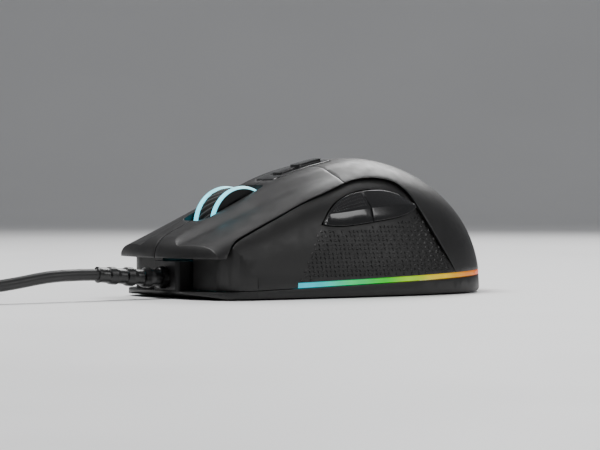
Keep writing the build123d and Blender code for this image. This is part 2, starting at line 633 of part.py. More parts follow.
def board_parts():
    """Capacitors, a crystal and resistors on the main board."""
    pieces = [rod(2, (x, y, BOARD_TOP_Z), (x, y, BOARD_TOP_Z + 5)) for x, y in [(-14, 24), (14, 26)]]
    pieces.append(block((-20, -12), (12, 16), (BOARD_TOP_Z, BOARD_TOP_Z + 3)))
    for i in range(5):
        pieces.append(block((9 + 2.4 * i, 10.2 + 2.4 * i), (-2, 0), (BOARD_TOP_Z, BOARD_TOP_Z + 0.6)))
    return Compound([piece.solid() for piece in pieces])


def strip_leds():
    """The small lamps along the edge of the board that light the strip."""
    lamps = []
    for y in (-18, -4, 10, 24):
        for x in (-23.5, 23.5):
            lamps.append(block((x - 1.2, x + 1.2), (y - 1, y + 1), (BOARD_TOP_Z, BOARD_TOP_Z + 0.9)).solid())
    return Compound(lamps)


def controller_chip():
    """The controller."""
    return Pos(10.5, 14, BOARD_TOP_Z) * extrude(Rectangle(7, 7), 1.0)


def sensor():
    """The optical sensor over the board's window."""
    package = extrude(Rectangle(10.4, 11.4), 2.6)
    return Pos(0, SENSOR_Y, BOARD_TOP_Z) * chamfer(package.edges().group_by(Axis.Z)[-1], 0.4)


def sensor_lens():
    """The clear lens between the base's window and the sensor."""
    plate = Pos(0, SENSOR_Y, FLOOR_TOP_Z) * extrude(RectangleRounded(14, 13, 2), 1.6)
    return plate + Pos(0, SENSOR_Y, BOARD_Z - 1) * extrude(Circle(3), 2.4)


def board_header():
    """The socket on the board for the cable's plug."""
    header = block((18.2, 24.2), (-24, -19.5), (BOARD_TOP_Z, BOARD_TOP_Z + 5))
    return header - block((19, 23.4), (-26, -20.3), (7.2, 10.4))


def lead_plug():
    """The plug on the inner end of the cable."""
    return block((19.15, 23.25), (-26.5, -20.5), (7.35, 10.25))


def rounded_route(points, radius, floor=2.0):
    """A tube of a given radius along straight runs joined by arcs, and the radii of its bends."""
    points = [Vector(*p) for p in points]
    bends = []
    for a, b, c in zip(points, points[1:], points[2:]):
        turn = math.radians((b - a).get_angle(c - b))
        bends.append(0.45 * min((b - a).length, (c - b).length) / math.tan(turn / 2))
    path = FilletPolyline(*points, radius=bends)
    tube = sweep(Plane(origin=path @ 0, z_dir=path % 0) * Circle(radius), path=path)
    print("tube length %.1f, volume over section times length %.4f, bends" % (
        path.length, tube.volume / (math.pi * radius ** 2 * path.length)), [round(b, 1) for b in bends])
    return tube


def inner_lead():
    """The bundle of wires from the housing to the socket."""
    return rounded_route([(0, -45.8, CABLE_Z), (2.6, -42.6, 8.6), (7.2, -43.6, 12.6), (13.0, -45.6, 15.2),
                          (19.0, -45.2, 15.4), (22.6, -40.6, 14.2), (23.2, -34.4, 11.4), (21.2, -29.8, 9.2),
                          (21.2, -26.5, 8.8)], 1.1)


# ---------------------------------------------------------------- cable
def relief_axis(y):
    """Height of the strain relief's axis at y, which bends gently upwards."""
    share = (RELIEF_NECK_Y - y) / (RELIEF_NECK_Y - RELIEF_FRONT_Y)
    return CABLE_Z + RELIEF_LIFT * max(share, 0) ** 1.5


def strain_relief():
    """The ribbed rubber sleeve that stops the cable bending sharply, with its flange in the housing."""
    sleeve = relief_space(-0.02) & block((-10, 10), (-55.7, -46), (0, 10.6))
    steps = 4
    pitch = (RELIEF_NECK_Y - RELIEF_FRONT_Y) / steps
    for i in range(steps):
        y = RELIEF_NECK_Y - pitch * i
        wide = 3.35 - 0.28 * i
        points = [(y + 0.1, 2.1), (y - 0.12 * pitch, wide), (y - 0.68 * pitch, wide - 0.1),
                  (y - 0.8 * pitch, 2.15), (y - pitch, 2.1)]
        rim = Polyline((points[0][0], 0), *points, (points[-1][0], 0), (points[0][0], 0))
        lobe = revolve(make_face(Plane.YZ * rim), Axis.Y)
        sleeve += Pos(0, 0, relief_axis(y - pitch / 2)) * lobe
    return sleeve


def cord_coil():
    """The outer shape of the coiled length."""
    return Pos(*COIL_CENTRE) * Torus(COIL_RADIUS, COIL_BUNDLE)


def cord_tie():
    """The strap round the coil."""
    x, y, z = COIL_CENTRE
    band = Circle(COIL_BUNDLE + 0.6) - Circle(COIL_BUNDLE + 0.05)
    return Pos(x, y - COIL_RADIUS, z) * extrude(Plane.YZ * band, 4, both=True)


def usb_grip():
    """The moulded grip of the plug."""
    body = Pos(PLUG_X, PLUG_Y + 13, PLUG_Z) * Box(15.6, 26, 7.8)
    body = fillet(body.edges().filter_by(Axis.Y), 2.4)
    return chamfer(body.edges().group_by(Axis.Y)[0], 1.2)


def usb_shell():
    """The metal sleeve of the plug."""
    sleeve = Box(12, 12.5, 4.5) - Pos(0, 0.3, 0) * Box(11.2, 12.5, 3.7)
    for x in (-2.6, 2.6):
        sleeve -= Pos(x, 0, 0) * Box(2, 2.2, 10)
    return Pos(PLUG_X, PLUG_Y + 26 + 6.25, PLUG_Z) * sleeve


def usb_tongue():
    """The plastic tongue with the plug's contacts."""
    return Pos(PLUG_X, PLUG_Y + 26 + 6.0, PLUG_Z + 0.8) * Box(11.1, 11, 1.8)


# ---------------------------------------------------------------- fasteners
def screws(places, head_z, head_radius, tip_z, shank_radius):
    """Screws that go in from below, heads down."""
    group = []
    for x, y in places:
        head = rod(head_radius, (x, y, head_z), (x, y, head_z + 1.2))
        shank = rod(shank_radius, (x, y, head_z + 1), (x, y, tip_z))
        cross = block((x - 1.2, x + 1.2), (y - 0.25, y + 0.25), (head_z - 1, head_z + 0.6))
        cross += block((x - 0.25, x + 0.25), (y - 1.2, y + 1.2), (head_z - 1, head_z + 0.6))
        group.append((head + shank - cross).solid())
    return Compound(group)


def panel_boss(side):
    """The screw boss inside a side panel's front corner."""
    x, y = BASE_SCREWS[1]
    boss = rod(2.4, (side * x, y, 3.4), (side * x, y, 10))
    arm = block(sorted((side * (x + 0.5), side * 28)), (y - 1, y + 1), (5, 10))
    return ((boss + arm) & form_solid(2.8)) - rod(0.9, (side * x, y, 0), (side * x, y, 20))


# ---------------------------------------------------------------- build
def all_parts():
    plates = button_plates() - wheel_slot() - island_prism(GAP)
    panels = side_panels()
    left_panel = (panels & SIDE_LEFT) - block((-8, 8), (-60, -40), (0, 30))
    right_panel = (panels & SIDE_RIGHT) - block((-8, 8), (-60, -40), (0, 30))
    left_panel -= almond_prism()
    thumbs = thumb_blank()
    right_panel += panel_boss(-1)
    left_panel += panel_boss(1)
    parts = {
        "base_shell": base_shell(), "palm_shell": palm_shell(), "light_strip": light_strip(),
        "left_button": main_button(plates, 1), "right_button": main_button(plates, -1),
        "left_side_panel": left_panel, "right_side_panel": right_panel,
        "forward_button": thumb_button(thumbs, "forward"), "back_button": thumb_button(thumbs, "back"),
        "resolution_frame": island_frame(),
        "wheel_hub": wheel_hub(), "wheel_tyre": wheel_tyre(),
        "wheel_ring_left": wheel_ring(1), "wheel_ring_right": wheel_ring(-1),
        "wheel_carriage": wheel_carriage(), "wheel_spring": wheel_spring(), "scroll_encoder": scroll_encoder(),
        "wheel_switch": WHEEL_SWITCH * tact_case(), "wheel_plunger": WHEEL_SWITCH * tact_plunger(4.3),
        "main_board": main_board(), "side_board": side_board(), "resolution_board": dpi_board(),
        "board_parts": board_parts(), "strip_leds": strip_leds(), "controller_chip": controller_chip(),
        "sensor": sensor(), "sensor_lens": sensor_lens(), "board_header": board_header(),
        "lead_plug": lead_plug(), "inner_lead": inner_lead(), "strain_relief": strain_relief(),
        "cord": rounded_route(CORD_ROUTE, CORD_RADIUS), "cord_tail": rounded_route(TAIL_ROUTE, CORD_RADIUS),
        "cord_coil": cord_coil(), "cord_tie": cord_tie(),
        "usb_grip": usb_grip(), "usb_shell": usb_shell(), "usb_tongue": usb_tongue(),
        "base_screws": screws(BASE_SCREWS, 0.8, 2.3, 9.0, 0.95),
        "front_feet": feet("front_feet"), "rear_feet": feet("rear_feet"), "label_plate": label_plate(),
    }
    for name, side in (("left", 1), ("right", -1)):
        parts[name + "_switch"] = main_switch(side)
        parts[name + "_plunger"] = main_plunger(side)
    for name in DPI_BUTTONS:
        parts["resolution_button_" + name] = dpi_button(name)
        parts["resolution_switch_" + name] = dpi_place(name) * tact_case(5, 2.8, 1.4)
        parts["resolution_plunger_" + name] = dpi_place(name) * tact_plunger(3.3, 1.3)
    for name in THUMB_SWITCHES:
        parts[name + "_switch"] = thumb_place(name) * tact_case(6, 3.6, 1.8)
        parts[name + "_plunger"] = thumb_place(name) * tact_plunger(4.8)
    screws_up = []
    for x, y in BOARD_SCREWS:
        head = rod(2.0, (x, y, BOARD_TOP_Z), (x, y, BOARD_TOP_Z + 1.2))
        screws_up.append((head + rod(0.75, (x, y, 3.0), (x, y, BOARD_TOP_Z + 0.5))).solid())
    parts["board_screws"] = Compound(screws_up)
    return parts


os.makedirs("parts", exist_ok=True)
for part_name, shape in all_parts().items():
    solids = shape.solids()
    print(part_name, len(solids), round(sum(solid.volume for solid in solids), 1))
    export_step(solids[0] if len(solids) == 1 else Compound(solids), "parts/%s.step" % part_name)
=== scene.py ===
import json
import math

import bpy
import numpy as np
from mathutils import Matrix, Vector
from mathutils.bvhtree import BVHTree


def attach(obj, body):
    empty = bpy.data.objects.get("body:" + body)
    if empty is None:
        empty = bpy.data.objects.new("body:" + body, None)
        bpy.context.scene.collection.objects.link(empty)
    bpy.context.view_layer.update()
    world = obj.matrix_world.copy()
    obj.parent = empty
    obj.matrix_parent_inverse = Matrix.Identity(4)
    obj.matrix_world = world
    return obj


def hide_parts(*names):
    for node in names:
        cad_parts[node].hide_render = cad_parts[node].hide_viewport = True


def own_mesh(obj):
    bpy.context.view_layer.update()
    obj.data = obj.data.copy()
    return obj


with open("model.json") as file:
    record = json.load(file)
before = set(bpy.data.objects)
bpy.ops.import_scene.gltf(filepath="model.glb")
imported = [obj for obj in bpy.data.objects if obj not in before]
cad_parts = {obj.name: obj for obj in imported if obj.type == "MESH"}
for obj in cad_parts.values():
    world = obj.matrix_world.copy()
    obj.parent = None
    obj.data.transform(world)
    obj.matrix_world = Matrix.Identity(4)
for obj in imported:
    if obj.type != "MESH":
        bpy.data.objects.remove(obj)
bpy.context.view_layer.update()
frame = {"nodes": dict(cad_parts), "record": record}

# A corded gaming mouse, dressed round its CAD frame. Lengths are in metres; MM turns millimetres into them.
MM = 0.001
WHEEL_CENTRE = Vector((0, -29.6, 21.7)) * MM
HUB_RADIUS = 8.6 * MM
CORD_DIAMETER = 3.5 * MM
CORD_LENGTH = 1.8
LEAD_LENGTH = 69.3 * MM         # of the cord before its coil
TAIL_LENGTH = 35.5 * MM         # of the cord after its coil
# Where the cord lies from the strain relief to the coil, and from the coil to the plug, in metres.
CORD_ROUTE = [(0, -.079, .0076), (.0004, -.093, .0079), (.0007, -.107, .0056), (.0006, -.121, .0042),
              (.0002, -.135, .0046), (-.0005, -.148, .0060)]
TAIL_ROUTE = [(-.0439, -.158, .0054), (-.0447, -.149, .0049), (-.0483, -.141, .0045), (-.054, -.134, .0043),
              (-.0576, -.126, .0043)]
COIL_CENTRE = Vector((-.0222, -.155, .0078))
COIL_RADIUS = .0216
COIL_START, COIL_END = math.radians(17), math.radians(188)      # where the cord joins and leaves the coil
THUMB_SIDE, FAR_SIDE = 1, -1
RELIEF_BACK_Y = -52.4 * MM      # end of the strain relief inside the case
RELIEF_NECK_Y = -55.6 * MM      # where it comes out of the case
RELIEF_FRONT_Y = -79.0 * MM
RELIEF_Z = 6.3 * MM
RELIEF_LIFT = 1.3 * MM          # how far its tip has risen


def smooth_through(points):
    """A smooth z = f(y), in metres, through points given in millimetres."""
    ys, zs = np.array(points, float).T
    fit = np.polyfit(ys, zs, min(5, len(points) - 1))
    return lambda y: float(np.polyval(fit, y / MM)) * MM


# Outline of both thumb buttons, a little inside their opening, and the crease across them: (y, z) in mm.
TOP_LINE = smooth_through([(-18, 22.4), (-14, 26.4), (-6.8, 30.3), (2.4, 32.5), (11.6, 32.0), (17.6, 29.6),
                           (19.5, 27.7)])
FOOT_LINE = smooth_through([(-18, 22.1), (-13, 21.6), (-4, 22.2), (6.6, 23.6), (16.4, 25.8), (19.5, 27.3)])
RIDGE_LINE = smooth_through([(-22, 24.9), (-13.3, 25.4), (0, 27.0), (20, 27.9)])


# ---------------------------------------------------------------- camera and light
CAMERA_AZIMUTH = 52


def aim(obj, place, target):
    """Puts an object at place, facing target."""
    obj.location = place
    obj.rotation_mode = "QUATERNION"
    obj.rotation_quaternion = (Vector(target) - Vector(place)).to_track_quat("-Z", "Y")
    bpy.context.scene.collection.objects.link(obj)


def round_the_object(azimuth, elevation, distance):
    """A point round the mouse: azimuth 0 is in front of it, 90 on its thumb side."""
    a, e = math.radians(azimuth), math.radians(elevation)
    return Vector((math.sin(a) * math.cos(e), -math.cos(a) * math.cos(e), math.sin(e))) * distance


def add_camera():
    """A long lens just above the table, off the front corner of the thumb side."""
    data = bpy.data.cameras.new("camera")
    data.lens, data.sensor_width = 120, 36
    data.clip_start, data.clip_end = 0.01, 20
    camera = bpy.data.objects.new("camera", data)
    target = Vector((-2.0, -2.4, 21.6)) * MM
    aim(camera, target + round_the_object(CAMERA_AZIMUTH, 0.6, 0.632), target)
    bpy.context.scene.camera = camera


def add_light(name, azimuth, elevation, distance, size, power):
    """A soft square lamp aimed at the middle of the mouse."""
    data = bpy.data.lights.new(name, "AREA")
    data.size, data.energy = size, power
    aim(bpy.data.objects.new(name, data), round_the_object(azimuth, elevation, distance), (0, 0, 0.02))


def mesh_object(name, points, faces, smooth=True):
    """A new mesh object from its points and faces."""
    mesh = bpy.data.meshes.new(name)
    mesh.from_pydata([tuple(p) for p in points], [], faces)
    mesh.polygons.foreach_set("use_smooth", [smooth] * len(mesh.polygons))
    mesh.update()
    obj = bpy.data.objects.new(name, mesh)
    bpy.context.scene.collection.objects.link(obj)
    return obj


def tube_faces(rows, around):
    """The quads between rings of points, each ring with the same number of points."""
    faces = []
    for i in range(rows - 1):
        for j in range(around):
            k = (j + 1) % around
            faces.append((i * around + j, (i + 1) * around + j, (i + 1) * around + k, i * around + k))
    return faces


# ---------------------------------------------------------------- node trees
def linear(code):
    """A hex sRGB colour as linear red, green, blue and 1."""
    parts = [int(code[i:i + 2], 16) / 255 for i in (1, 3, 5)]
    return tuple(c / 12.92 if c <= 0.04045 else ((c + 0.055) / 1.055) ** 2.4 for c in parts) + (1,)


def put(tree, kind, links=None, **values):
    """Adds a node. links maps its inputs to outputs; values sets its properties, or its inputs by name."""
    node = tree.nodes.new("ShaderNode" + kind)
    for key, value in values.items():
        if hasattr(node, key):
            setattr(node, key, value)
        else:
            node.inputs[key.replace("_", " ")].default_value = value
    for key, output in (links or {}).items():
        tree.links.new(output, node.inputs[key])
    return node


def start_material(name):
    """A new material with its surface shader, and object coordinates in metres."""
    material = bpy.data.materials.new(name)
    material.use_nodes = True
    tree = material.node_tree
    shader = tree.nodes["Principled BSDF"]
    place = put(tree, "TexCoord").outputs["Object"]
    return material, tree, shader, place


def noise(tree, place, size, detail=2.0, roughness=0.5):
    """Cloudy noise with lumps about size metres across, as its 0 to 1 output."""
    cloud = put(tree, "TexNoise", {"Vector": place}, Scale=1 / size, Detail=detail, Roughness=roughness)
    return cloud.outputs["Fac"]


def spread(tree, value, low, high, from_low=0.3, from_high=0.7):
    """Maps a pattern to the range from low to high."""
    mapped = put(tree, "MapRange", {"Value": value}, clamp=True)
    limits = {"From Min": from_low, "From Max": from_high, "To Min": low, "To Max": high}
    for socket, number in limits.items():
        mapped.inputs[socket].default_value = number
    return mapped.outputs["Result"]


def blend_colours(tree, share, first, second):
    """Mixes two colours by a pattern."""
    mix = put(tree, "Mix", data_type="RGBA")
    factor, colour_a, colour_b = mix.inputs[0], mix.inputs[6], mix.inputs[7]
    colour_a.default_value = linear(first)
    colour_b.default_value = linear(second)
    tree.links.new(share, factor)
    return mix.outputs[2]


def times(tree, first, second):
    """The product of two patterns."""
    return put(tree, "Math", {0: first, 1: second}, operation="MULTIPLY").outputs[0]


def bumped(tree, shader, height, depth, strength=1.0, edge=0.0):
    """Gives the surface a relief of the given depth, over edges softened by edge metres."""
    bump = put(tree, "Bump", {"Height": height}, Strength=strength, Distance=depth)
    if edge:
        soft = put(tree, "Bevel", Radius=edge)
        soft.samples = 6
        tree.links.new(soft.outputs["Normal"], bump.inputs["Normal"])
    tree.links.new(bump.outputs["Normal"], shader.inputs["Normal"])


def moulded(name, dark, light, rough, grain, depth, edge=0.15 * MM, ior=1.5, sheen=0.0):
    """Injection-moulded plastic: spark-eroded grain, slow colour drift and uneven polish."""
    material, tree, shader, place = start_material(name)
    drift = noise(tree, place, 14 * MM, 3)
    wear = noise(tree, place, 3.1 * MM, 4)
    tree.links.new(blend_colours(tree, drift, dark, light), shader.inputs["Base Color"])
    tree.links.new(spread(tree, wear, rough - 0.05, rough + 0.06), shader.inputs["Roughness"])
    shader.inputs["IOR"].default_value = ior
    shader.inputs["Sheen Weight"].default_value = sheen
    bumped(tree, shader, noise(tree, place, grain, 2), depth, edge=edge)
    return material


def shell_plastic(name):
    """Black ABS, finely spark-eroded so that highlights spread softly."""
    return moulded(name, "#0d0c0c", "#121111", 0.42, 0.22 * MM, 0.012 * MM)


def panel_plastic(name):
    """Black ABS of the grips, a little rougher, which keeps the sides duller than the top."""
    return moulded(name, "#0d0c0c", "#131211", 0.46, 0.25 * MM, 0.015 * MM)


def gloss_button(name):
    """Piano-black ABS, polished in the mould: near-mirror with faint hairlines."""
    material, tree, shader, place = start_material(name)
    stretched = put(tree, "Mapping", {"Vector": place}, Rotation=(0.3, 0.2, 0.9), Scale=(1, 24, 1))
    hairs = noise(tree, stretched.outputs[0], 5 * MM, 5, 0.7)
    drift = noise(tree, place, 9 * MM)
    tree.links.new(blend_colours(tree, drift, "#070707", "#0b0a0b"), shader.inputs["Base Color"])
    tree.links.new(spread(tree, hairs, 0.1, 0.2), shader.inputs["Roughness"])
    shader.inputs["IOR"].default_value = 1.53
    shader.inputs["Coat Weight"].default_value = 0.4
    bumped(tree, shader, noise(tree, place, 2.4 * MM), 0.004 * MM, 0.5, edge=0.25 * MM)
    return material


def hub_plastic(name):
    """Grey acetal of the wheel's core: waxy, half dull."""
    return moulded(name, "#2b2b2d", "#343436", 0.38, 0.4 * MM, 0.008 * MM, ior=1.48)


def wheel_rubber(name):
    """Black silicone tyre: dull, with fine dust in its grain."""
    return moulded(name, "#0c0c0c", "#141414", 0.6, 0.16 * MM, 0.02 * MM, sheen=0.12)


def inner_plastic(name):
    """Charcoal ABS of the parts inside, straight from a plain mould."""
    return moulded(name, "#232324", "#2c2c2e", 0.42, 0.5 * MM, 0.01 * MM)


def switch_case(name):
    """Glass-filled nylon of the switch housings: dull with pale flecks."""
    return moulded(name, "#17181a", "#26272a", 0.48, 0.12 * MM, 0.012 * MM, ior=1.54)


def plunger_plastic(name):
    """Ivory acetal of the switch plungers."""
    return moulded(name, "#d9d2bd", "#e6e0cf", 0.34, 0.2 * MM, 0.006 * MM, ior=1.48)


def component(name):
    """Epoxy moulding compound of chips and connectors: grey-black and stony."""
    return moulded(name, "#161718", "#222325", 0.55, 0.09 * MM, 0.014 * MM, ior=1.55)


def cord_jacket(name):
    """Extruded PVC jacket: soft satin black, with slow ripples from the extruder."""
    return moulded(name, "#0c0c0c", "#121212", 0.42, 1.6 * MM, 0.03 * MM, ior=1.53)


def relief_rubber(name):
    """Moulded PVC of the strain relief: black, a little shinier than the cord."""
    return moulded(name, "#0a0a0a", "#101010", 0.32, 0.5 * MM, 0.01 * MM, ior=1.53)


def foot_plastic(name):
    """Skived PTFE of the gliding feet: milky dark grey and waxy."""
    return moulded(name, "#3b3c3e", "#47484a", 0.3, 0.9 * MM, 0.01 * MM, ior=1.38)


def strap_cloth(name):
    """Woven nylon hook tape: a plain weave of 0.5 mm threads."""
    material, tree, shader, place = start_material(name)
    warp = put(tree, "TexWave", {"Vector": place}, Scale=1 / (3.2 * MM), Distortion=0.6)
    warp.bands_direction = "Y"
    weft = put(tree, "TexWave", {"Vector": place}, Scale=1 / (3.2 * MM), Distortion=0.6)
    weft.bands_direction = "Z"
    weave = times(tree, warp.outputs["Fac"], weft.outputs["Fac"])
    tree.links.new(blend_colours(tree, weave, "#101010", "#232323"), shader.inputs["Base Color"])
    tree.links.new(spread(tree, noise(tree, place, 1 * MM), 0.7, 0.85), shader.inputs["Roughness"])
    shader.inputs["Sheen Weight"].default_value = 0.3
    bumped(tree, shader, weave, 0.12 * MM)
    return material


def metal(name, dark, light, rough, line):
    """Bare metal with rolling lines along Y and uneven polish."""
    material, tree, shader, place = start_material(name)
    stretched = put(tree, "Mapping", {"Vector": place}, Scale=(1, 0.04, 1)).outputs[0]
    lines = noise(tree, stretched, line, 4, 0.6)
    patches = noise(tree, place, 4 * MM, 3)
    tree.links.new(blend_colours(tree, patches, dark, light), shader.inputs["Base Color"])
    tree.links.new(spread(tree, lines, rough - 0.07, rough + 0.1), shader.inputs["Roughness"])
    shader.inputs["Metallic"].default_value = 1
    bumped(tree, shader, lines, 0.004 * MM, edge=0.1 * MM)
    return material


def spring_steel(name):
    """Drawn music wire with a thin oil film: grey and fairly bright."""
    return metal(name, "#8f9296", "#a8abaf", 0.3, 0.1 * MM)


def plug_steel(name):
    """Nickel-plated sheet steel of the plug: bright with a warm cast."""
    return metal(name, "#b9b6ad", "#c9c7c0", 0.22, 0.15 * MM)


def screw_steel(name):
    """Black-zinc screws: dark metal, half dull."""
    return metal(name, "#3a3b3d", "#4a4b4e", 0.38, 0.1 * MM)


def board(name):
    """FR4 glass-epoxy under green solder resist: weave just showing, copper tracks beneath."""
    material, tree, shader, place = start_material(name)
    tracks = put(tree, "TexBrick", {"Vector": place}, Scale=1 / (4 * MM), Mortar_Size=0.045,
                 Mortar_Smooth=0.1)
    tracks.inputs["Color1"].default_value = linear("#0f3d24")
    tracks.inputs["Color2"].default_value = linear("#12452a")
    tracks.inputs["Mortar"].default_value = linear("#1f6138")
    tree.links.new(tracks.outputs["Color"], shader.inputs["Base Color"])
    tree.links.new(spread(tree, noise(tree, place, 2 * MM), 0.24, 0.36), shader.inputs["Roughness"])
    shader.inputs["IOR"].default_value = 1.55
    weave = put(tree, "TexChecker", {"Vector": place}, Scale=1 / (0.8 * MM)).outputs["Fac"]
    bumped(tree, shader, weave, 0.01 * MM, 0.5)
    return material


def clear_plastic(name):
    """Optical polycarbonate of the sensor's lens."""
    material, tree, shader, place = start_material(name)
    shader.inputs["Base Color"].default_value = linear("#f1f4f5")
    shader.inputs["Transmission Weight"].default_value = 0.9
    shader.inputs["IOR"].default_value = 1.585
    tree.links.new(spread(tree, noise(tree, place, 3 * MM), 0.04, 0.1), shader.inputs["Roughness"])
    bumped(tree, shader, noise(tree, place, 1.5 * MM), 0.003 * MM)
    return material


def label_paper(name):
    """Matt polyester label: dark grey print, blank."""
    material, tree, shader, place = start_material(name)
    fibre = noise(tree, place, 0.3 * MM, 4)
    tree.links.new(blend_colours(tree, fibre, "#2a2a2b", "#323233"), shader.inputs["Base Color"])
    tree.links.new(spread(tree, fibre, 0.5, 0.6), shader.inputs["Roughness"])
    bumped(tree, shader, fibre, 0.01 * MM)
    return material


def beyond_radius(tree, place, radius):
    """1 outside a radius round the wheel's axle and 0 inside it."""
    offset = put(tree, "VectorMath", {0: place}, operation="SUBTRACT")
    offset.inputs[1].default_value = WHEEL_CENTRE
    flat = put(tree, "VectorMath", {0: offset.outputs[0]}, operation="MULTIPLY")
    flat.inputs[1].default_value = (0, 1, 1)
    distance = put(tree, "VectorMath", {0: flat.outputs[0]}, operation="LENGTH").outputs["Value"]
    return spread(tree, distance, 0, 1, radius - 0.1 * MM, radius + 0.1 * MM)


def lit(name, stops, low_y, high_y, strength, rim=None):
    """Milky acrylic lit from inside, in colours that change along Y. With rim, only what's past it glows."""
    material, tree, shader, place = start_material(name)
    y = put(tree, "SeparateXYZ", {"Vector": place}).outputs["Y"]
    share = spread(tree, y, 0, 1, low_y, high_y)
    ramp = put(tree, "ValToRGB", {"Fac": share})
    ramp.color_ramp.interpolation = "EASE"
    for i, (position, code) in enumerate(stops):
        element = ramp.color_ramp.elements[i] if i < 2 else ramp.color_ramp.elements.new(position)
        element.position, element.color = position, linear(code)
    tree.links.new(ramp.outputs["Color"], shader.inputs["Emission Color"])
    shader.inputs["Base Color"].default_value = linear("#0c0c0c")
    glow = spread(tree, noise(tree, place, 6 * MM), strength * 0.85, strength * 1.1)
    if rim:
        glow = times(tree, glow, beyond_radius(tree, place, rim))
    tree.links.new(glow, shader.inputs["Emission Strength"])
    shader.inputs["IOR"].default_value = 1.49
    tree.links.new(spread(tree, noise(tree, place, 1 * MM), 0.3, 0.42), shader.inputs["Roughness"])
    bumped(tree, shader, noise(tree, place, 0.3 * MM), 0.005 * MM, edge=0.2 * MM)
    return material


def strip_light(name):
    """The light strip: cyan at the front, through green and yellow to red at the tail."""
    stops = [(0.0, "#00e5ff"), (1.0, "#ff1400"), (0.22, "#00f07a"), (0.34, "#10f020"), (0.46, "#b4f000"),
             (0.6, "#ffd800"), (0.8, "#ff9000"), (0.92, "#ff4a00")]
    return lit(name, stops, -26 * MM, 58 * MM, 0.9)


def ring_light(name):
    """The wheel's lit rims, cyan-white."""
    stops = [(0.0, "#59e4ff"), (1.0, "#59e4ff"), (0.5, "#9cf2ff")]
    return lit(name, stops, -42 * MM, -18 * MM, 2.2, rim=11.2 * MM)


def led(name):
    """White LED packages, switched off: pale epoxy over yellow phosphor."""
    return moulded(name, "#e3d9a0", "#efe8c4", 0.25, 0.3 * MM, 0.004 * MM, ior=1.54)


MAKERS = {
    "shell_plastic": shell_plastic, "panel_plastic": panel_plastic, "strip_light": strip_light,
    "gloss_button": gloss_button, "hub_plastic": hub_plastic, "wheel_rubber": wheel_rubber,
    "ring_light": ring_light, "inner_plastic": inner_plastic, "spring_steel": spring_steel,
    "switch_case": switch_case, "plunger_plastic": plunger_plastic, "board": board,
    "component": component, "led": led, "clear_plastic": clear_plastic, "cord_jacket": cord_jacket,
    "relief_rubber": relief_rubber, "strap": strap_cloth, "plug_steel": plug_steel,
    "screw_steel": screw_steel, "foot": foot_plastic, "label": label_paper}
MATERIALS = {slot: make(slot) for slot, make in MAKERS.items()}


def dress(obj, slot):
    """Gives an object its material and names its slot."""
    obj.data.materials.clear()
    obj.data.materials.append(MATERIALS[slot])


# ---------------------------------------------------------------- stage
def floor_material():
    """Pale satin table top."""
    material, tree, shader, place = start_material("table_top")
    drift = noise(tree, place, 0.3, 3)
    tree.links.new(blend_colours(tree, drift, "#e4e4e4", "#ececec"), shader.inputs["Base Color"])
    tree.links.new(spread(tree, noise(tree, place, 0.05), 0.5, 0.6), shader.inputs["Roughness"])
    return material


def add_stage():
    """A pale floor that curves up into a backdrop, three soft lamps and a dim sky."""
    front, back, rise, top, half, rows = -4.0, 2.2, 1.0, 4.0, 5.0, 24
    profile = [(front, 0.0), (back, 0.0)]
    for turn in np.linspace(0, math.pi / 2, rows)[1:]:
        profile.append((back + rise * math.sin(turn), rise * (1 - math.cos(turn))))
    profile.append((back + rise, top))
    away = -round_the_object(CAMERA_AZIMUTH, 0, 1)
    side = Vector((-away.y, away.x, 0))
    points = [away * d + side * s + Vector((0, 0, h)) for d, h in profile for s in (-half, half)]
    faces = [(2 * i, 2 * i + 1, 2 * i + 3, 2 * i + 2) for i in range(len(profile) - 1)]
    floor = mesh_object("floor", points, faces)
    floor.data.materials.append(floor_material())
    add_light("key", azimuth=-25, elevation=64, distance=1.1, size=0.55, power=15)
    add_light("rim", azimuth=215, elevation=40, distance=1.2, size=0.5, power=9)
    add_light("side", azimuth=118, elevation=30, distance=1.3, size=0.5, power=3)
    world = bpy.data.worlds.new("sky")
    world.use_nodes = True
    world.node_tree.nodes["Background"].inputs[0].default_value = linear("#dcdee2")
    world.node_tree.nodes["Background"].inputs[1].default_value = 0.32
    bpy.context.scene.world = world


# ---------------------------------------------------------------- cord
def coil_places(count):
    """Places of a bundle's strands in its round section, packed like honeycomb, from the lowest row up."""
    pitch = CORD_DIAMETER * 1.03
    grid = [(a, b) for a in range(-3, 4) for b in range(-3, 4)]
    places = [(a * pitch + b * pitch / 2, b * pitch * math.sqrt(3) / 2) for a, b in grid]
    places = [(x - pitch / 2, z - pitch * math.sqrt(3) / 6) for x, z in places]
    nearest = sorted(places, key=lambda place: math.hypot(*place))[:count]
    return sorted(nearest, key=lambda place: (round(place[1], 5), place[0]))


def coil_points():
    """The coil's turns: each strand of the bundle goes once round and then moves over to the next place."""
    steps, crossing = 16, 0.2       # points in a turn, and the share of it spent on moving over
    turns = (CORD_LENGTH - LEAD_LENGTH - TAIL_LENGTH) / (2 * math.pi * COIL_RADIUS)
    last = (COIL_END - COIL_START) / (2 * math.pi)
    whole = round(turns - last)
    places = np.array(coil_places(whole + 1))
    points = []
    for i in range(int((whole + last) * steps) + 1):
        turn = i / steps
        k = min(int(turn), whole)
        share = max(0.0, (turn - k - 1 + crossing) / crossing)
        here, after = places[k], places[min(k + 1, whole)]
        out, up = here + (after - here) * (3 * share ** 2 - 2 * share ** 3)
        angle = COIL_START + 2 * math.pi * turn
        radius = COIL_RADIUS + out
        points.append(COIL_CENTRE + Vector((radius * math.cos(angle), radius * math.sin(angle), up)))
    return points


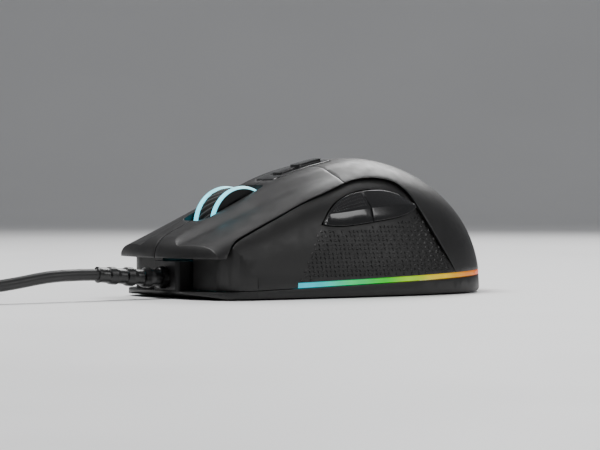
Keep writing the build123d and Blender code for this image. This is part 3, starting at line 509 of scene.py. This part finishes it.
def add_cord(sleeve):
    """The cable from the strain relief through its coil to the plug, as one smooth curve."""
    curve = bpy.data.curves.new("cable", "CURVE")
    curve.dimensions = "3D"
    curve.bevel_depth = CORD_DIAMETER / 2 / MM      # times each point's radius, which keeps the bounds tight
    curve.bevel_resolution = 6
    curve.use_fill_caps = True
    spline = curve.splines.new("NURBS")
    points = [Vector(p) for p in CORD_ROUTE] + coil_points() + [Vector(p) for p in TAIL_ROUTE]
    spline.points.add(len(points) - 1)
    for point, place in zip(spline.points, points):
        point.co = (*place, 1)
        point.radius = MM
    spline.order_u = 3
    spline.use_endpoint_u = True
    spline.resolution_u = 4
    cable = bpy.data.objects.new("cable", curve)
    bpy.context.scene.collection.objects.link(cable)
    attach(cable, "case")
    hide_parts("cord", "cord_coil", "cord_tail")
    dress(cable, "cord_jacket")


# ---------------------------------------------------------------- pieces with finer shape than the CAD
def soften(node, width):
    """Rounds a carried-over node's hard edges."""
    weld = node.modifiers.new("weld", "WELD")
    weld.merge_threshold = 0.002 * MM
    bevel = node.modifiers.new("bevel", "BEVEL")
    bevel.width, bevel.segments = width, 2
    bevel.limit_method, bevel.angle_limit = "ANGLE", math.radians(32)


def surface_of(name):
    """A search tree over one node's mesh."""
    mesh = frame["nodes"][name].data
    corners = [v.co.copy() for v in mesh.vertices]
    return BVHTree.FromPolygons(corners, [tuple(p.vertices) for p in mesh.polygons])


def in_thumb_opening(y, z):
    """True inside the outline of the thumb buttons, with a little room round it."""
    inside_y = -19.2 * MM < y < 20.8 * MM
    return inside_y and FOOT_LINE(y) - 0.9 * MM < z < TOP_LINE(y) + 0.7 * MM


def drop_on(tree, y, z, side):
    """The point and normal where a line along X from outside meets a surface."""
    place, normal, _, _ = tree.ray_cast(Vector((side * 0.06, y, z)), Vector((-side, 0, 0)))
    return place, normal


def triangle_hits(tree, side, y, z, half, turn):
    """Where a triangle's three corners land on a surface, or None where it has no room or spans an edge."""
    room, spread_limit = 1.4, 1.3 * MM
    corners = [(y + half * math.sin(turn + a), z + half * math.cos(turn + a))
               for a in (0, 2 * math.pi / 3, 4 * math.pi / 3)]
    wide = [(y + room * (a - y), z + room * (b - z)) for a, b in corners]
    beside_main_button = z > 20.5 * MM and y < 0
    in_opening = side == THUMB_SIDE and any(in_thumb_opening(a, b) for a, b in wide)
    if beside_main_button or in_opening:
        return None
    hits = [drop_on(tree, a, b, side) for a, b in corners]
    reach = [drop_on(tree, a, b, side)[0] for a, b in wide]
    if any(h[0] is None for h in hits) or any(r is None for r in reach):
        return None
    outs = [abs(h[0].x) for h in hits] + [abs(r.x) for r in reach]
    return hits if max(outs) - min(outs) <= spread_limit else None


def grip_texture(side, node):
    """Rows of small raised triangles over a side panel, from behind the finger to the crease."""
    tree = surface_of(node)
    rows, columns = 20, 60
    pitch_y, pitch_z, half, height, sunk = 1.5 * MM, 1.3 * MM, 0.68 * MM, 0.32 * MM, 0.05 * MM
    low_z, front_y, lean = 5.6 * MM, -27.1 * MM, 8.3 / 15.6      # the front edge leans back as it rises
    points, faces = [], []
    for row in range(rows):
        z = low_z + row * pitch_z
        front = front_y + lean * (z - 6.1 * MM)
        for column in range(columns):
            y = front + (column + 0.5 * (row % 2)) * pitch_y
            hits = triangle_hits(tree, side, y, z, half, math.pi if column % 2 else 0.0)
            if hits is None:
                continue
            normal = (hits[0][1] + hits[1][1] + hits[2][1]).normalized()
            middle = (hits[0][0] + hits[1][0] + hits[2][0]) / 3
            n = len(points)
            points += [h[0] - normal * sunk for h in hits]
            points += [middle + (h[0] - middle) * 0.5 + normal * height for h in hits]
            faces += [(n, n + 1, n + 4, n + 3), (n + 1, n + 2, n + 5, n + 4), (n + 2, n, n + 3, n + 5),
                      (n + 3, n + 4, n + 5)]
    grip = mesh_object(node.replace("side_panel", "grip_points"), points, faces, smooth=False)
    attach(grip, "case")
    dress(grip, "panel_plastic")


def on_wheel(x, radius, turn):
    """A point at a radius round the wheel's axle."""
    return WHEEL_CENTRE + Vector((x, radius * math.cos(turn), radius * math.sin(turn)))


def tread():
    """The tyre, with slanting bars moulded across it."""
    around, across = 480, 17
    half, radius, groove, crown = 3.38 * MM, 11.55 * MM, 0.65 * MM, 0.25 * MM
    bars, slant, steepness = 30, 5.0, 3.5
    turns = [2 * math.pi * i / around for i in range(around)]
    points, faces = [], []
    for turn in turns:
        for share in np.linspace(-1, 1, across):
            bar = 0.5 + 0.5 * math.tanh(steepness * math.sin(bars * turn + slant * share))
            points.append(on_wheel(half * share, radius - crown * share ** 4 - groove * (1 - bar), turn))
    n = len(points)
    points += [on_wheel(x, HUB_RADIUS, turn) for x in (-half, half) for turn in turns]
    for i in range(around):
        k = (i + 1) % around
        a, b = i * across, k * across
        faces += [(a + j, a + j + 1, b + j + 1, b + j) for j in range(across - 1)]
        faces.append((a, b, n + k, n + i))
        faces.append((n + around + i, n + around + k, b + across - 1, a + across - 1))
    tyre = mesh_object("tread", points, faces)
    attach(tyre, "wheel")
    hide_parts("wheel_tyre")
    dress(tyre, "wheel_rubber")


def outward_line(tree, ys, zs):
    """How far out a surface lies along the line through ys and zs, as a curve fitted through its facets."""
    hits = [(y, drop_on(tree, y, z, THUMB_SIDE)[0]) for y, z in list(zip(ys, zs))[2:-2]]
    found = np.array([(y, place.x) for y, place in hits if place is not None])
    return np.polyval(np.polyfit(*found.T, 3), ys)


def thumb_button(node, low_y, high_y):
    """A thumb button as two smooth facets that meet in a crease, with its edges turned in."""
    tree = surface_of(node)
    depth, edge, fold_room = 2.4 * MM, 0.06 * MM, 0.35 * MM
    ys = np.linspace(low_y, high_y, 41)
    crease = [min(max(RIDGE_LINE(y), FOOT_LINE(y) + fold_room), TOP_LINE(y) - fold_room) for y in ys]
    heights = {"foot": [FOOT_LINE(y) + edge for y in ys], "crease": crease,
               "top": [TOP_LINE(y) - edge for y in ys]}
    outs = {key: outward_line(tree, ys, zs) for key, zs in heights.items()}
    points = []
    for i, y in enumerate(ys):
        foot, fold, top = [(outs[key][i], heights[key][i]) for key in ("foot", "crease", "top")]
        profile = [(foot[0] - depth, foot[1]), foot, fold, top, (top[0] - depth, top[1])]
        points += [(x, y, z) for x, z in profile]
    count = 5
    ends = [tuple(range(count))[::-1], tuple(range(len(points) - count, len(points)))]
    sides = [(a, d, c, b) for a, b, c, d in tube_faces(len(ys), count)]
    button = mesh_object(node + "_skin", points, ends + sides)
    bevel = button.modifiers.new("bevel", "BEVEL")
    bevel.width, bevel.segments = 0.28 * MM, 3
    bevel.limit_method, bevel.angle_limit = "ANGLE", math.radians(12)
    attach(button, node)
    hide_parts(node)
    dress(button, "gloss_button")
    return outs, heights, ys


def add_dot(points, faces, x, y, z):
    """Adds one low round dot to a mesh in the making."""
    radius, ring = 0.22 * MM, 8
    n = len(points)
    for scale, lift in ((1, -0.02 * MM), (0.8, 0.1 * MM)):
        for a in np.linspace(0, 2 * math.pi, ring, endpoint=False):
            wide = radius * scale
            points.append((x + lift, y + wide * math.cos(a), z + wide * math.sin(a)))
    points.append((x + 0.15 * MM, y, z))
    for i in range(ring):
        k = (i + 1) % ring
        faces.append((n + i, n + k, n + ring + k, n + ring + i))
        faces.append((n + ring + i, n + ring + k, n + 2 * ring))


def grip_dots(outs, heights, ys):
    """Rows of small raised dots on the front thumb button's upper facet."""
    points, faces = [], []
    rows, pitch, top_room, crease_room = 5, 0.95 * MM, 0.5 * MM, 0.35 * MM
    for row in range(1, rows):
        share = row / rows
        for y in np.arange(ys[0] + 1.6 * MM, ys[-1] - 0.8 * MM, pitch):
            low_x, high_x = [float(np.interp(y, ys, outs[key])) for key in ("crease", "top")]
            low_z, high_z = [float(np.interp(y, ys, heights[key])) for key in ("crease", "top")]
            z = low_z + (high_z - low_z) * share
            if high_z - z >= top_room and z - low_z >= crease_room:
                add_dot(points, faces, low_x * (1 - share) + high_x * share, y, z)
    dots = mesh_object("grip_dots", points, faces)
    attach(dots, "forward_button")
    dress(dots, "gloss_button")


def relief_reach(share, a):
    """How far the sleeve reaches out at a share of its free length and an angle a round it."""
    neck, ribs, shift, steepness = 2.15 * MM, 8, 0.7, 3.2
    full = (3.35 - 0.95 * share) * MM
    wave = math.tanh(steepness * math.sin(ribs * math.pi * share + shift))
    facing = math.cos(a) ** 2
    fill = 0.5 + 0.5 * wave * (1 - 2 * facing)
    return neck + (full - neck) * (0.25 + 0.75 * fill)


def strain_relief():
    """The rubber sleeve: a tapering spine with ribs that alternate from the sides to the top and bottom."""
    rows, around, inside_radius = 150, 40, 2.55 * MM
    points = []
    for y in np.linspace(RELIEF_BACK_Y, RELIEF_FRONT_Y, rows):
        share = max(0.0, (RELIEF_NECK_Y - y) / (RELIEF_NECK_Y - RELIEF_FRONT_Y))
        axis_z = RELIEF_Z + RELIEF_LIFT * share ** 1.5
        for a in np.linspace(0, 2 * math.pi, around, endpoint=False):
            reach = inside_radius if y > RELIEF_NECK_Y else relief_reach(share, a)
            points.append((reach * math.cos(a), y, axis_z + reach * math.sin(a)))
    ends = [tuple(range(around)), tuple(range((rows - 1) * around, rows * around))[::-1]]
    sleeve = mesh_object("relief_sleeve", points, ends + tube_faces(rows, around))
    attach(sleeve, "case")
    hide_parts("strain_relief")
    dress(sleeve, "relief_rubber")
    return sleeve


def carry_over():
    """Gives every shown CAD node its material, and rounds the edges of the outer ones."""
    rounded = {"palm_shell": 0.3, "left_button": 0.3, "right_button": 0.3, "left_side_panel": 0.25,
               "right_side_panel": 0.25, "base_shell": 0.25, "resolution_frame": 0.2, "light_strip": 0.15,
               "resolution_button_front": 0.2, "resolution_button_rear": 0.2, "usb_grip": 0.2,
               "front_feet": 0.1, "rear_feet": 0.1}
    for row in frame["record"]["subparts"]:
        node = frame["nodes"][row["node"]]
        node.data.materials.clear()
        node.data.materials.append(MATERIALS[row["material_slot"]])
        if row["node"] in rounded:
            soften(node, rounded[row["node"]] * MM)


add_camera()
add_cord(strain_relief())
add_stage()
carry_over()
tread()
grip_dots(*thumb_button("forward_button", -17.7 * MM, 0.45 * MM))
thumb_button("back_button", 0.75 * MM, 19.3 * MM)
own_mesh(frame["nodes"]["wheel_spring"])
grip_texture(THUMB_SIDE, "left_side_panel")
grip_texture(FAR_SIDE, "right_side_panel")
